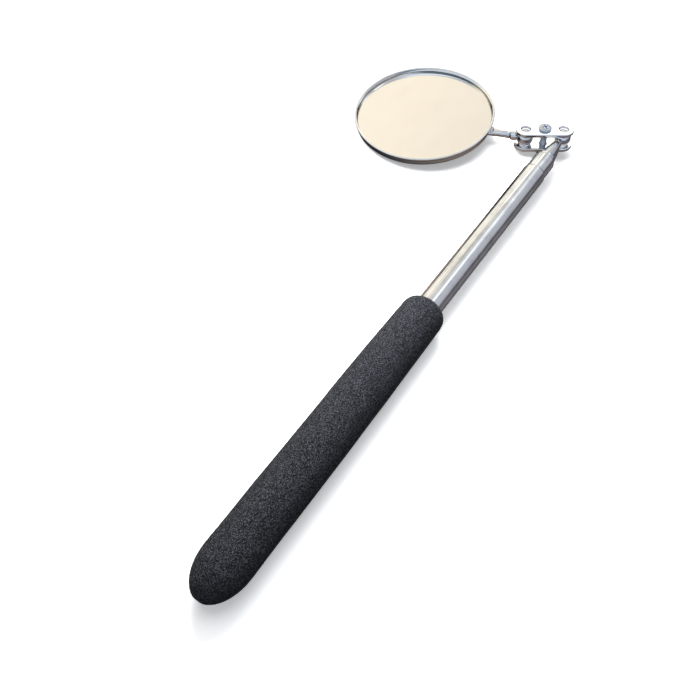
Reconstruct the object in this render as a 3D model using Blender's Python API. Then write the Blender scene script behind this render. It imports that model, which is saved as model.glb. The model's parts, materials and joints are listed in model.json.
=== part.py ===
"""Telescoping inspection mirror: foam-gripped chrome tube with one sliding stage, a
conical ferrule, a double-ball clamp and a round mirror in a rolled-lip cup.

World frame: +X along the tool from the closed grip end to the head, +Y towards the side
the mirror is swung to, +Z up. The origin is the bottom centre of the whole object.
"""

import math

import bmesh
import bpy
from mathutils import Matrix, Vector

MM = 0.001

# Placement of the tool axis, so that the origin is the bottom centre of the object
AXIS_X0 = -106.003
AXIS_Y0 = -33.251

# Handle: x runs along the tool from the closed end of the grip
GRIP_R = 7.3
GRIP_LEN = 106.8
GRIP_DOME = 12.3
GRIP_FLAT_R = 1.7
GRIP_TAPER = ((38.0, 7.3), (66.0, 7.3), (84.0, 7.18), (100.4, 6.95))
GRIP_FRONT_R = 6.9
GRIP_NOSE_X = 3.4
GRIP_NOSE_R = 2.5
GRIP_BORE_R = 4.2
GRIP_BORE_END = 3.8
TUBE_R = 4.1
TUBE_WALL = 0.4
TUBE_START = 4.0
TUBE_END = 187.2
SWAGE_X = 179.3
MOUTH_R = 3.86
MOUTH_BORE_R = 3.4
PLUG_START = 4.1
PLUG_END = 9.0
PLUG_R = 3.6

# Sliding stage
SLEEVE_START = 10.5
SLEEVE_END = 19.2
SLEEVE_R = 3.6
SLEEVE_BORE_R = 2.35
INNER_R = 3.15
INNER_WALL = 0.35
INNER_START = 19.5
INNER_END = 187.4
BASE_FLANGE_X = 9.4
BASE_FLANGE_R = 3.2
BASE_SPOOL_R = 2.2
BASE_PRESS_R = 2.7
BASE_END = 27.0
FERRULE_SPIGOT_X = 180.0
FERRULE_X = 187.6
FERRULE_R = 3.2
CONE_X = 189.3
CONE_END = 198.9
CONE_TIP_R = 1.5
NECK_R = 1.25
NECK_START = 190.4

# Double-ball clamp
SHAFT_BALL_X = 202.5
BALL_R = 2.95
BALL_GAP = 0.1
BALL_PITCH = 13.3
PLATE_HALF_WIDTH = 3.6
PLATE_IN = 2.45
PLATE_OUT = 3.7
PLATE_EDGE = 0.22
SEAT_R = 1.75
SCREW_HOLE_R = 1.4
SCREW_R = 1.2
HEAD_R = 2.3
HEAD_H = 1.0
WASHER_T = 0.45
NUT_FLATS = 5.0
NUT_T = 1.4
FIT = 0.06

# Mirror head: x runs along the stem from the mirror ball, z is the side the glass faces
COLLAR_R = 1.65
COLLAR_END = 5.4
STEM_R = 1.25
STEM_START = 5.5
TONGUE_START = 13.6
TONGUE_END = 24.8
TONGUE_HALF_W = 2.4
TONGUE_T = 1.0
CUP_X = 37.7
CUP_RIM_Z = 4.4
CUP_DEPTH = 3.3
CUP_R = 25.3
CUP_LIP_R = 25.75
CUP_WALL = 0.5
CUP_FILLET = 1.0
RIVET_X = (16.6, 21.6)
RIVET_R = 0.9
RIVET_HEAD_R = 1.5
RIVET_HOLE_R = 1.0
PAD_R = 23.9
PAD_T = 0.4
GLASS_R = 24.55
GLASS_T = 1.05
GLASS_RECESS = 1.3

# Rest pose, degrees: the head rolled about the tool, the clamp and the stem swung round
HEAD_ROLL = -6.54
CLAMP_SWING = 119.6
STEM_SWING = -15.3
MIRROR_TWIST = -4.3


def clear_scene():
    for obj in list(bpy.data.objects):
        bpy.data.objects.remove(obj, do_unlink=True)
    for mesh in list(bpy.data.meshes):
        bpy.data.meshes.remove(mesh)


def material(name, colour, roughness, metallic):
    made = bpy.data.materials.new(name)
    made.use_nodes = True
    shader = made.node_tree.nodes["Principled BSDF"]
    shader.inputs["Base Color"].default_value = (*colour, 1.0)
    shader.inputs["Roughness"].default_value = roughness
    shader.inputs["Metallic"].default_value = metallic
    made.diffuse_color = (*colour, 1.0)
    made.roughness = roughness
    made.metallic = metallic
    return made


def frame(name, parent, place, turn=(0.0, 0.0, 0.0)):
    """An empty, in millimetres and degrees, that carries the pieces of one moving group."""
    empty = bpy.data.objects.new(name, None)
    empty.empty_display_size = 0.01
    bpy.context.scene.collection.objects.link(empty)
    empty.parent = parent
    empty.location = Vector(place) * MM
    empty.rotation_euler = [math.radians(angle) for angle in turn]
    return empty


def finish(bm, name, look, parent, sharp=35.0):
    """Turn a bmesh drawn in millimetres into a named object on its frame."""
    bmesh.ops.remove_doubles(bm, verts=bm.verts, dist=1e-5)
    bmesh.ops.recalc_face_normals(bm, faces=bm.faces)
    bmesh.ops.transform(bm, matrix=Matrix.Scale(MM, 4), verts=bm.verts)
    mesh = bpy.data.meshes.new(name)
    bm.to_mesh(mesh)
    bm.free()
    for polygon in mesh.polygons:
        polygon.use_smooth = True
    mesh.set_sharp_from_angle(angle=math.radians(sharp))
    mesh.materials.append(look)
    obj = bpy.data.objects.new(name, mesh)
    bpy.context.scene.collection.objects.link(obj)
    obj.parent = parent
    return obj


def turned(profile, along="X", steps=48, closed=False, centre=(0.0, 0.0, 0.0), arc=None):
    """A lathe shape from (distance along the axis, radius) points, as a bmesh."""
    bm = bmesh.new()
    axis = Vector((1, 0, 0)) if along == "X" else Vector((0, 0, 1))
    start = 0.0 if arc is None else math.radians(arc[0])
    side = Vector((0, 0, 1)) if along == "X" else Vector((1, 0, 0))
    side = Matrix.Rotation(start, 3, axis) @ side
    points = [bm.verts.new(Vector(centre) + axis * a + side * r) for a, r in profile]
    pairs = list(zip(points, points[1:]))
    if closed:
        pairs.append((points[-1], points[0]))
    edges = [bm.edges.new(pair) for pair in pairs]
    angle = math.tau if arc is None else math.radians(arc[1] - arc[0])
    bmesh.ops.spin(
        bm,
        geom=points + edges,
        cent=Vector(centre),
        axis=axis,
        angle=angle,
        steps=steps,
        use_merge=arc is None,
    )
    bmesh.ops.remove_doubles(bm, verts=bm.verts, dist=1e-5)
    if arc is not None:
        ends = [edge for edge in bm.edges if edge.is_boundary]
        bmesh.ops.holes_fill(bm, edges=ends, sides=0)
    return bm


def rounding(a0, r0, a1, r1, bulge, count):
    """Points of a quarter ellipse from (a0, r0) to (a1, r1); bulge says which end is square."""
    made = []
    for i in range(count + 1):
        turn = 0.5 * math.pi * i / count
        if bulge == "radius":
            made.append((a0 + (a1 - a0) * (1 - math.cos(turn)), r0 + (r1 - r0) * math.sin(turn)))
        else:
            made.append((a0 + (a1 - a0) * math.sin(turn), r0 + (r1 - r0) * (1 - math.cos(turn))))
    return made


def cut(target, cutters):
    """Exact Boolean differences, with the cutters kept as hidden helpers."""
    for number, cutter in enumerate(cutters):
        cutter.hide_render = True
        cutter.display_type = "WIRE"
        boolean = target.modifiers.new(f"cut_{number}", "BOOLEAN")
        boolean.operation = "DIFFERENCE"
        boolean.solver = "EXACT"
        boolean.object = cutter


def pin_cutter(name, radius, low, high, centre, parent, steps=32):
    profile = [(low, 0.0), (low, radius), (high, radius), (high, 0.0)]
    bm = turned(profile, "Z", steps, centre=centre)
    return finish(bm, name, LOOKS["chrome"], parent)


def prism(outline, low, high):
    """A flat outline in the XY plane raised from low to high."""
    bm = bmesh.new()
    base = [bm.verts.new((x, y, low)) for x, y in outline]
    face = bm.faces.new(base)
    raised = bmesh.ops.extrude_face_region(bm, geom=[face])
    moved = [item for item in raised["geom"] if isinstance(item, bmesh.types.BMVert)]
    bmesh.ops.translate(bm, verts=moved, vec=(0, 0, high - low))
    bmesh.ops.recalc_face_normals(bm, faces=bm.faces)
    return bm


def bevel_all(bm, width, segments, least_angle):
    sharp = [e for e in bm.edges if e.calc_face_angle(0.0) > math.radians(least_angle)]
    bmesh.ops.bevel(
        bm,
        geom=sharp,
        offset=width,
        segments=segments,
        affect="EDGES",
        profile=0.5,
        clamp_overlap=True,
    )


# ---------------------------------------------------------------- handle


def grip_profile():
    start = GRIP_DOME * (1 - math.sqrt(1 - (GRIP_FLAT_R / GRIP_R) ** 2))
    first = math.asin(GRIP_FLAT_R / GRIP_R)
    outline = [(0.0, 0.0)]
    for i in range(9):
        turn = first + (0.5 * math.pi - first) * i / 8
        outline.append((GRIP_DOME * (1 - math.cos(turn)) - start, GRIP_R * math.sin(turn)))
    outline += GRIP_TAPER
    front = GRIP_FRONT_R
    outline += rounding(GRIP_LEN - GRIP_NOSE_X, front, GRIP_LEN, front - GRIP_NOSE_R, "axis", 6)
    outline.append((GRIP_LEN - 0.05, GRIP_BORE_R + 0.15))
    outline.append((GRIP_LEN - 0.35, GRIP_BORE_R))
    outline.append((GRIP_BORE_END, GRIP_BORE_R))
    outline.append((GRIP_BORE_END, 0.0))
    return outline


def build_handle(root):
    bm = turned(grip_profile(), "X", 48)
    finish(bm, "foam_grip", LOOKS["foam"], root, sharp=60.0)

    inner = TUBE_R - TUBE_WALL
    tube = [
        (TUBE_START, inner),
        (TUBE_START, TUBE_R),
        (SWAGE_X - 0.4, TUBE_R),
        (SWAGE_X - 0.1, TUBE_R - 0.05),
        (SWAGE_X + 0.15, MOUTH_R + 0.02),
        (SWAGE_X + 0.5, MOUTH_R),
        (TUBE_END - 0.35, MOUTH_R),
        (TUBE_END - 0.1, MOUTH_R - 0.1),
        (TUBE_END, MOUTH_R - 0.22),
        (TUBE_END - 0.1, MOUTH_BORE_R),
        (SWAGE_X + 0.4, MOUTH_BORE_R),
        (SWAGE_X, inner),
    ]
    bm = turned(tube, "X", 48, closed=True)
    finish(bm, "outer_tube", LOOKS["chrome_tube"], root)

    plug = [
        (PLUG_START, 0.0),
        (PLUG_START, PLUG_R - 0.3),
        (PLUG_START + 0.3, PLUG_R),
        (PLUG_END - 0.5, PLUG_R),
        (PLUG_END, PLUG_R - 0.5),
        (PLUG_END, 0.0),
    ]
    bm = turned(plug, "X", 36)
    finish(bm, "tube_end_plug", LOOKS["plug"], root)


# ---------------------------------------------------------------- sliding stage


def sleeve_profile():
    middle = 0.5 * (SLEEVE_START + SLEEVE_END)
    return [
        (SLEEVE_START, SLEEVE_BORE_R),
        (SLEEVE_START, SLEEVE_R - 0.35),
        (SLEEVE_START + 1.6, SLEEVE_R),
        (middle - 1.5, SLEEVE_R),
        (middle, SLEEVE_R - 0.12),
        (middle + 1.5, SLEEVE_R),
        (SLEEVE_END - 1.6, SLEEVE_R),
        (SLEEVE_END, SLEEVE_R - 0.35),
        (SLEEVE_END, SLEEVE_BORE_R),
    ]


def build_slider(slide):
    for name, arc in (("upper", (-82.5, 82.5)), ("lower", (97.5, 262.5))):
        bm = turned(sleeve_profile(), "X", 22, closed=True, arc=arc)
        finish(bm, "friction_sleeve_" + name, LOOKS["brass"], slide)


def build_shaft(shaft):
    base = [
        (BASE_FLANGE_X, 0.0),
        (BASE_FLANGE_X, BASE_FLANGE_R - 0.3),
        (BASE_FLANGE_X + 0.3, BASE_FLANGE_R),
        (BASE_FLANGE_X + 1.0, BASE_FLANGE_R),
        (BASE_FLANGE_X + 1.0, BASE_SPOOL_R),
        (INNER_START - 0.1, BASE_SPOOL_R),
        (INNER_START - 0.1, BASE_PRESS_R),
        (BASE_END - 0.6, BASE_PRESS_R),
        (BASE_END, BASE_PRESS_R - 0.6),
        (BASE_END, 0.0),
    ]
    bm = turned(base, "X", 36)
    finish(bm, "shaft_base_plug", LOOKS["steel"], shaft)

    bore = INNER_R - INNER_WALL
    tube = [
        (INNER_START, bore),
        (INNER_START, INNER_R - 0.1),
        (INNER_START + 0.1, INNER_R),
        (INNER_END - 0.1, INNER_R),
        (INNER_END, INNER_R - 0.1),
        (INNER_END, bore),
    ]
    bm = turned(tube, "X", 48, closed=True)
    finish(bm, "inner_tube", LOOKS["chrome_tube"], shaft)

    hole = NECK_R + 0.1
    ferrule = [
        (FERRULE_SPIGOT_X, 0.0),
        (FERRULE_SPIGOT_X, bore - 0.4),
        (FERRULE_SPIGOT_X + 0.3, bore - 0.1),
        (FERRULE_X, bore - 0.1),
        (FERRULE_X, FERRULE_R - 0.15),
        (FERRULE_X + 0.15, FERRULE_R),
        (CONE_X - 0.25, FERRULE_R),
        (CONE_X, FERRULE_R - 0.08),
        (CONE_END - 0.3, CONE_TIP_R + 0.12),
        (CONE_END, CONE_TIP_R),
        (CONE_END, hole),
        (NECK_START - 0.1, hole),
        (NECK_START - 0.1, 0.0),
    ]
    bm = turned(ferrule, "X", 40)
    finish(bm, "cone_ferrule", LOOKS["chrome"], shaft)

    reach = BALL_R + BALL_GAP
    neck = [(NECK_START, 0.0), (NECK_START, NECK_R)]
    for i in range(5):
        r = NECK_R * (1 - i / 4)
        neck.append((SHAFT_BALL_X - math.sqrt(reach * reach - r * r), r))
    bm = turned(neck, "X", 24)
    finish(bm, "ball_neck", LOOKS["chrome"], shaft)


# ---------------------------------------------------------------- double-ball clamp


def ball(name, parent):
    bm = bmesh.new()
    bmesh.ops.create_uvsphere(bm, u_segments=28, v_segments=14, radius=BALL_R)
    return finish(bm, name, LOOKS["chrome"], parent, sharp=80.0)


def stadium(half_width, length, count=14):
    outline = []
    for i in range(count + 1):
        turn = -0.5 * math.pi + math.pi * i / count
        outline.append((length + half_width * math.cos(turn), half_width * math.sin(turn)))
    for i in range(count + 1):
        turn = 0.5 * math.pi + math.pi * i / count
        outline.append((half_width * math.cos(turn), half_width * math.sin(turn)))
    return outline


def clamp_plate(name, low, high, clamp):
    bm = prism(stadium(PLATE_HALF_WIDTH, BALL_PITCH), low, high)
    bevel_all(bm, PLATE_EDGE, 2, 60.0)
    plate = finish(bm, name, LOOKS["chrome_plate"], clamp)
    holes = []
    for label, x, radius in (
        ("seat_a", 0.0, SEAT_R),
        ("screw", 0.5 * BALL_PITCH, SCREW_HOLE_R),
        ("seat_b", BALL_PITCH, SEAT_R),
    ):
        holes.append(pin_cutter(f"{name}_{label}", radius, low - 1, high + 1, (x, 0, 0), clamp))
    cut(plate, holes)
    return plate


def build_clamp(clamp):
    clamp_plate("clamp_plate_upper", PLATE_IN, PLATE_OUT, clamp)
    clamp_plate("clamp_plate_lower", -PLATE_OUT, -PLATE_IN, clamp)
    middle = (0.5 * BALL_PITCH, 0.0, 0.0)

    top = -PLATE_OUT - FIT
    hole = SCREW_R + 0.15
    ring = [
        (top, hole),
        (top, SCREW_R + 1.05),
        (top - WASHER_T, SCREW_R + 1.05),
        (top - WASHER_T, hole),
    ]
    bm = turned(ring, "Z", 32, closed=True, centre=middle, arc=(6.0, 354.0))
    finish(bm, "clamp_lock_washer", LOOKS["steel"], clamp)

    top -= WASHER_T + FIT
    corner = NUT_FLATS / math.sqrt(3.0)
    outline = []
    for i in range(6):
        turn = math.radians(60 * i)
        outline.append((middle[0] + corner * math.cos(turn), corner * math.sin(turn)))
    bm = prism(outline, top - NUT_T, top)
    bevel_all(bm, 0.12, 1, 40.0)
    nut = finish(bm, "clamp_nut", LOOKS["zinc"], clamp)
    thread = pin_cutter("clamp_nut_bore", SCREW_R + 0.1, top - NUT_T - 1, top + 1, middle, clamp)
    cut(nut, [thread])


def build_screw(screw):
    under = PLATE_OUT + FIT
    tip = -PLATE_OUT - WASHER_T - NUT_T - 2 * FIT - 0.25
    profile = [(tip, 0.0), (tip, SCREW_R - 0.3), (tip + 0.3, SCREW_R)]
    profile += [(under, SCREW_R), (under, HEAD_R - 0.08), (under + 0.08, HEAD_R)]
    profile += rounding(under + 0.35, HEAD_R, under + HEAD_H, 0.9, "axis", 6)
    profile.append((under + HEAD_H, 0.0))
    bm = turned(profile, "Z", 32)
    body = finish(bm, "clamp_screw", LOOKS["zinc"], screw, sharp=50.0)
    slots = []
    for number, turn in enumerate((20.0, 110.0)):
        bm = bmesh.new()
        bmesh.ops.create_cube(bm, size=1.0)
        for vert in bm.verts:
            deep = vert.co.z < 0
            vert.co.x *= 1.3 if deep else 2.9
            vert.co.y *= 0.42 if deep else 0.62
            vert.co.z = under + (0.25 if deep else HEAD_H + 0.3)
        bmesh.ops.rotate(
            bm,
            verts=bm.verts,
            cent=(0, 0, 0),
            matrix=Matrix.Rotation(math.radians(turn), 3, "Z"),
        )
        slots.append(finish(bm, f"screw_recess_{number}", LOOKS["zinc"], screw))
    cut(body, slots)


# ---------------------------------------------------------------- mirror head


def build_collar(stud):
    reach = BALL_R + BALL_GAP
    profile = []
    for i in range(5):
        r = COLLAR_R * 0.84 * i / 4
        profile.append((math.sqrt(reach * reach - r * r), r))
    profile += [(3.35, COLLAR_R), (COLLAR_END - 0.5, COLLAR_R)]
    profile += [(COLLAR_END, COLLAR_R - 0.4), (COLLAR_END, 0.0)]
    bm = turned(profile, "X", 28)
    finish(bm, "stem_collar", LOOKS["chrome"], stud)


def ring_of(bm, x, half_w, half_t, rise, count=24):
    verts = []
    for i in range(count):
        turn = math.tau * i / count
        power = 0.62 if half_w > 1.3 * half_t else 1.0
        c = math.cos(turn)
        s = math.sin(turn)
        y = half_w * math.copysign(abs(c) ** power, c)
        z = half_t * math.copysign(abs(s) ** power, s)
        verts.append(bm.verts.new((x, y, z + rise)))
    return verts


def build_stem(head):
    top = CUP_RIM_Z - CUP_DEPTH - FIT
    rise = top - 0.5 * TONGUE_T
    half = 0.5 * TONGUE_T
    sections = [
        (STEM_START, STEM_R - 0.15, STEM_R - 0.15, 0.0),
        (STEM_START + 0.15, STEM_R, STEM_R, 0.0),
        (9.5, STEM_R, STEM_R, 0.0),
        (10.9, 1.5, 1.02, 0.22 * rise),
        (12.3, 2.05, 0.68, 0.7 * rise),
        (TONGUE_START, TONGUE_HALF_W, half, rise),
        (TONGUE_END - 2.4, TONGUE_HALF_W, half, rise),
        (TONGUE_END - 1.3, 2.1, half, rise),
        (TONGUE_END - 0.5, 1.5, half, rise),
        (TONGUE_END, 0.7, half * 0.8, rise),
    ]
    bm = bmesh.new()
    rings = [ring_of(bm, *section) for section in sections]
    for first, second in zip(rings, rings[1:]):
        for i in range(len(first)):
            j = (i + 1) % len(first)
            bm.faces.new((first[i], first[j], second[j], second[i]))
    bm.faces.new(rings[0])
    bm.faces.new(rings[-1])
    stem = finish(bm, "mirror_stem", LOOKS["chrome"], head, sharp=50.0)
    holes = []
    for number, x in enumerate(RIVET_X):
        name = f"stem_hole_{number + 1}"
        holes.append(pin_cutter(name, RIVET_HOLE_R, -2.0, 3.0, (x, 0, 0), head, 24))
    cut(stem, holes)


def build_rivets(head):
    floor = CUP_RIM_Z - CUP_DEPTH + CUP_WALL
    below = CUP_RIM_Z - CUP_DEPTH - FIT - TONGUE_T - 0.05
    for number, x in enumerate(RIVET_X):
        profile = [(below - 0.45, 0.0), (below - 0.4, 0.7), (below - 0.2, 1.25)]
        profile += [(below, RIVET_HEAD_R), (below, RIVET_R)]
        profile += [(floor + 0.05, RIVET_R), (floor + 0.05, RIVET_HEAD_R)]
        profile += [(floor + 0.3, RIVET_HEAD_R - 0.25), (floor + 0.3, 0.0)]
        bm = turned(profile, "Z", 24, centre=(x, 0, 0))
        finish(bm, f"stem_rivet_{number + 1}", LOOKS["steel"], head)


def build_cup(head):
    base = CUP_RIM_Z - CUP_DEPTH
    top = CUP_RIM_Z
    bore = CUP_R - CUP_WALL
    profile = [(base, 0.0)]
    profile += rounding(base, CUP_R - CUP_FILLET, base + CUP_FILLET, CUP_R, "radius", 5)
    profile += [
        (top - 0.95, CUP_R),
        (top - 0.72, CUP_R + 0.14),
        (top - 0.56, CUP_LIP_R - 0.04),
        (top - 0.34, CUP_LIP_R),
        (top - 0.12, CUP_LIP_R - 0.12),
        (top, CUP_LIP_R - 0.38),
        (top - 0.1, CUP_LIP_R - 0.66),
        (top - 0.34, bore + 0.08),
        (top - 0.6, bore),
        (base + CUP_WALL + 0.5, bore),
        (base + CUP_WALL + 0.15, bore - 0.15),
        (base + CUP_WALL, bore - 0.5),
        (base + CUP_WALL, 0.0),
    ]
    bm = turned(profile, "Z", 72, centre=(CUP_X, 0, 0))
    cup = finish(bm, "mirror_cup", LOOKS["chrome_cup"], head)
    holes = []
    for number, x in enumerate(RIVET_X):
        name = f"cup_hole_{number + 1}"
        holes.append(
            pin_cutter(name, RIVET_HOLE_R, base - 1, base + CUP_WALL + 1, (x, 0, 0), head, 24)
        )
    cut(cup, holes)

    low = base + CUP_WALL + 0.05
    disc = [(low, 0.0), (low, PAD_R), (low + PAD_T, PAD_R), (low + PAD_T, 0.0)]
    bm = turned(disc, "Z", 60, centre=(CUP_X, 0, 0))
    pad = finish(bm, "mirror_adhesive_pad", LOOKS["pad"], head)
    holes = []
    for number, x in enumerate(RIVET_X):
        name = f"pad_hole_{number + 1}"
        holes.append(pin_cutter(name, 1.9, low - 1, low + PAD_T + 1, (x, 0, 0), head, 24))
    cut(pad, holes)

    face = top - GLASS_RECESS
    back = face - GLASS_T
    edge = 0.12
    disc = [
        (back, 0.0),
        (back, GLASS_R - edge),
        (back + edge, GLASS_R),
        (face - edge, GLASS_R),
        (face, GLASS_R - edge),
        (face, 0.0),
    ]
    bm = turned(disc, "Z", 72, centre=(CUP_X, 0, 0))
    finish(bm, "mirror_glass", LOOKS["mirror"], head)


# ---------------------------------------------------------------- assembly

clear_scene()

LOOKS = {
    "foam": material("foam_black", (0.022, 0.023, 0.026), 0.88, 0.0),
    "chrome_tube": material("chrome_tube_steel", (0.78, 0.78, 0.79), 0.08, 1.0),
    "chrome": material("chrome_turned", (0.76, 0.76, 0.77), 0.1, 1.0),
    "chrome_plate": material("chrome_pressed_plate", (0.8, 0.8, 0.81), 0.14, 1.0),
    "chrome_cup": material("chrome_drawn_cup", (0.74, 0.74, 0.75), 0.12, 1.0),
    "zinc": material("zinc_bright", (0.58, 0.61, 0.66), 0.26, 1.0),
    "steel": material("steel_plain", (0.5, 0.5, 0.5), 0.35, 1.0),
    "brass": material("brass_spring", (0.72, 0.53, 0.25), 0.3, 1.0),
    "plug": material("plastic_black", (0.03, 0.03, 0.03), 0.6, 0.0),
    "pad": material("adhesive_grey", (0.3, 0.3, 0.3), 0.9, 0.0),
    "mirror": material("mirror_silvered", (0.93, 0.92, 0.88), 0.02, 1.0),
}

tool = frame("tool_axis", None, (AXIS_X0, AXIS_Y0, GRIP_R))
build_handle(tool)

slide = frame("slide_axis", tool, (0, 0, 0))
build_slider(slide)

shaft = frame("shaft_spin_axis", slide, (0, 0, 0), (HEAD_ROLL, 0, 0))
build_shaft(shaft)

shaft_ball_centre = frame("shaft_ball_centre", shaft, (SHAFT_BALL_X, 0, 0))
ball("shaft_ball", shaft_ball_centre)

clamp = frame("clamp_swing_axis", shaft_ball_centre, (0, 0, 0), (0, 0, CLAMP_SWING))
build_clamp(clamp)

screw = frame("screw_axis", clamp, (0.5 * BALL_PITCH, 0, 0))
build_screw(screw)

mirror_ball_centre = frame("mirror_ball_centre", clamp, (BALL_PITCH, 0, 0), (0, 0, STEM_SWING))
ball("mirror_ball", mirror_ball_centre)

stud = frame("stud_tilt_axis", mirror_ball_centre, (0, 0, 0))
build_collar(stud)

head = frame("stem_twist_axis", stud, (0, 0, 0), (MIRROR_TWIST, 0, 0))
build_stem(head)
build_rivets(head)
build_cup(head)

bpy.context.view_layer.update()
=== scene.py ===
"""Telescoping inspection mirror: the looks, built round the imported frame."""

import json
import math

import bmesh
import bpy
import numpy as np
from mathutils import Matrix, Vector, noise

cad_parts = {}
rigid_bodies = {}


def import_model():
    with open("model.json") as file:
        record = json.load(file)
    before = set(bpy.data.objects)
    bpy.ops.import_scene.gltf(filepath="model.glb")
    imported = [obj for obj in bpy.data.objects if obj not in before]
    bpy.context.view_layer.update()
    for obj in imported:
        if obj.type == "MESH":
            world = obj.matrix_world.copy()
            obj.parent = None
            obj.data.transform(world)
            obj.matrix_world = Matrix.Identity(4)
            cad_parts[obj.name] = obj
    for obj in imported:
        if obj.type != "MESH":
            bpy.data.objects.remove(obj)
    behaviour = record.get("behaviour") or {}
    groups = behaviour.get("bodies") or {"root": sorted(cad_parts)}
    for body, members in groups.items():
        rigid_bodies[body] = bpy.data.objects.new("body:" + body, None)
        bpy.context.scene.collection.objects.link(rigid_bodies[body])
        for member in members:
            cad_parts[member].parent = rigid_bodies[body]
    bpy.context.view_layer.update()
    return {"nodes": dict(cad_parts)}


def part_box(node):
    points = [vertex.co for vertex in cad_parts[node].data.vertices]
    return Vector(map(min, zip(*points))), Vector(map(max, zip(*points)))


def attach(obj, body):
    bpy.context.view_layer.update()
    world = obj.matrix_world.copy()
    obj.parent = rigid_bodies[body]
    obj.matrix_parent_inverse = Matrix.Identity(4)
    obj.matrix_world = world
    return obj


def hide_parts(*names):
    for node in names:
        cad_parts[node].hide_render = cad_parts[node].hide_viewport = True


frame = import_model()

MM = 0.001

# ---------------------------------------------------------------- dimensions, mm

grip_low, grip_high = (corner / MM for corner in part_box("foam_grip"))
tube_low, tube_high = (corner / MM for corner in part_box("outer_tube"))

AXIS_X0 = grip_low.x
AXIS_Y0 = 0.5 * (grip_low.y + grip_high.y)
AXIS_Z0 = 0.5 * (grip_low.z + grip_high.z)

GRIP_R = 0.5 * (grip_high.z - grip_low.z)
GRIP_LEN = grip_high.x - grip_low.x
GRIP_DOME = 12.3
GRIP_FLAT_R = 1.7
GRIP_TAPER = ((38.0, 7.3), (66.0, 7.3), (84.0, 7.18), (100.4, 6.95))
GRIP_FRONT_R = 6.9
GRIP_NOSE_X = 3.4
GRIP_NOSE_R = 2.5
GRIP_BORE_R = 4.2
GRIP_BORE_END = 3.8
FOAM_STEP = 0.22
FOAM_SIDES = 208
FOAM_CELL = 0.52
FOAM_LUMP = 1.7
FOAM_GRAIN = 0.45
FOAM_WAVE = 14.0
FOAM_RELIEF = 0.06
FOAM_WAVINESS = 0.1
FOAM_SINK = 0.04
FOAM_PIT = 0.42

TUBE_R = 0.5 * (tube_high.z - tube_low.z)
TUBE_BORE_R = 3.7
TUBE_START = tube_low.x - AXIS_X0
TUBE_END = tube_high.x - AXIS_X0
SWAGE_X = 179.3
MOUTH_R = 3.86
MOUTH_BORE_R = 3.4

INNER_R = 3.15
INNER_BORE_R = 2.8
INNER_START = 19.5
INNER_END = 187.4
FERRULE_SPIGOT_X = 180.0
FERRULE_X = 187.6
FERRULE_R = 3.2
CONE_X = 189.3
CONE_END = 198.9
CONE_TIP_R = 1.5
NECK_R = 1.25
NECK_START = 190.4

SHAFT_BALL_X = 202.5
BALL_R = 2.95
BALL_GAP = 0.1
BALL_PITCH = 13.3
CENTRE_MARK_R = 0.42
PLATE_HALF_WIDTH = 3.6
PLATE_IN = 2.45
PLATE_OUT = 3.7
PLATE_EDGE = 0.3
SEAT_R = 1.75
SEAT_CHAMFER = 0.16
SCREW_HOLE_R = 1.4
SCREW_R = 1.2
SLOT_LENGTH = 2.9
SLOT_WIDTH = 0.66
SLOT_FOOT_LENGTH = 1.2
SLOT_FOOT_WIDTH = 0.4
SLOT_FLOOR = 0.22
THREAD_PITCH = 0.45
THREAD_DEPTH = 0.2
HEAD_R = 2.3
HEAD_H = 1.0
WASHER_T = 0.45
NUT_FLATS = 5.0
NUT_T = 1.4
FIT = 0.06

COLLAR_R = 1.65
COLLAR_END = 5.4
STEM_R = 1.25
STEM_START = 5.5
TONGUE_START = 13.6
TONGUE_END = 24.8
TONGUE_HALF_W = 2.4
TONGUE_T = 1.0
CUP_X = 37.7
CUP_RIM_Z = 4.4
CUP_DEPTH = 3.3
CUP_R = 25.3
CUP_LIP_R = 25.75
CUP_WALL = 0.5
CUP_FILLET = 1.0
CUP_DRAFT = 0.11
LIP_HALF_WIDTH = 0.42
LIP_HALF_HEIGHT = 0.36
LIP_ROUNDNESS = 0.6
RIVET_X = (16.6, 21.6)
RIVET_R = 0.9
RIVET_HEAD_R = 1.5
GLASS_R = 24.65
GLASS_T = 1.05
GLASS_RECESS = 1.3
GLASS_SEAM = 0.07
SILVER_T = 0.08
SILVER_GAP = 0.01

# The pose at rest, in degrees.
HEAD_ROLL = -6.54
CLAMP_SWING = 119.6
STEM_SWING = -15.3
MIRROR_TWIST = -4.3

# ---------------------------------------------------------------- studio settings

EYE_MM = (-141.69, -90.14, 199.65)
EYE_RIGHT = (0.55502, -0.83065, 0.04459)
EYE_AHEAD = (0.49577, 0.28727, -0.81957)
LENS_MM = 41.79
SENSOR_MM = 36.0

FLOOR_HALF = 6.0
FLOOR_Z = -0.0002
FLOOR_SEEN = 0.9
FLOOR_GLOW = 0.36
# Painted light and shade on the floor as reflections see it: greyer and darker on the far side,
# warmer and lighter on the window side.
FLOOR_FAR_SIDE_PAINTED_SHADE = (0.085, 0.081, 0.085)
FLOOR_WINDOW_SIDE_PAINTED_LIGHT = (0.14, 0.112, 0.094)
# Painted shadow: the floor as reflections see it is nearly black under the mirror head.
FLOOR_PAINTED_SHADOW_UNDER_HEAD = (0.012, 0.0125, 0.015)

# The room's colour over the tool, from 0 towards +Y, by 0.5 overhead, to 1 towards -Y.
ROOM_OVER = (
    (0.0, (0.8, 0.76, 0.67)),
    (0.05, (1.08, 1.05, 0.93)),
    (0.12, (1.24, 1.21, 1.07)),
    (0.2, (1.15, 1.1, 0.95)),
    (0.3, (1.0, 0.94, 0.82)),
    (0.38, (0.79, 0.76, 0.7)),
    (0.5, (0.69, 0.71, 0.72)),
    (0.7, (0.54, 0.57, 0.64)),
    (0.92, (0.47, 0.48, 0.53)),
    (0.96, (0.3, 0.29, 0.32)),
    (1.0, (0.22, 0.21, 0.22)),
)

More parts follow.
